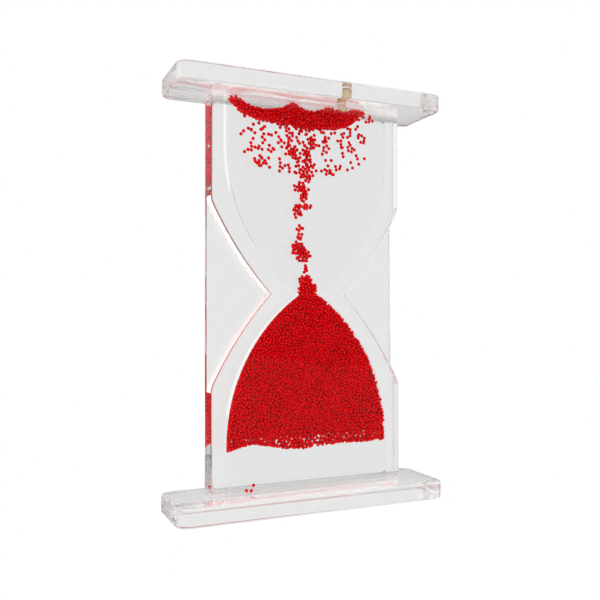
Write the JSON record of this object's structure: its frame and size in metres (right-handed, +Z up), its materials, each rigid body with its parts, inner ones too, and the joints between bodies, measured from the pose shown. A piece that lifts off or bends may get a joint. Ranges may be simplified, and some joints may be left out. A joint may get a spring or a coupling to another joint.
{
  "type": "liquid motion timer",
  "caption": "Clear waisted chamber between two end plates, in which beads rise through liquid from the lower half to the upper.",
  "frame": {"origin": "centre of the bottom plate's underside", "axes": "+Z up along the chamber, +X along the end plates towards the fill plug, +Y from the front shell to the back shell"},
  "size_m": [0.09, 0.024, 0.1344],
  "materials": {
    "clear_shell": "clear, polished",
    "clear_plate": "clear, polished",
    "plug": "yellowed, glossy",
    "sealant": "yellowed, glossy",
    "liquid": "clear liquid",
    "beads": "glossy red"
  },
  "bodies": {
    "root": {"front_shell": "clear_shell", "back_shell": "clear_shell", "top_plate": "clear_plate", "bottom_plate": "clear_plate", "fill_plug": "plug", "plug_sealant": "sealant", "liquid": "liquid", "lower_bead_pile": "beads", "rising_bead_stream": "beads", "scattered_beads": "beads", "top_bead_layer": "beads", "stray_beads": "beads"}
  },
  "joints": []
}
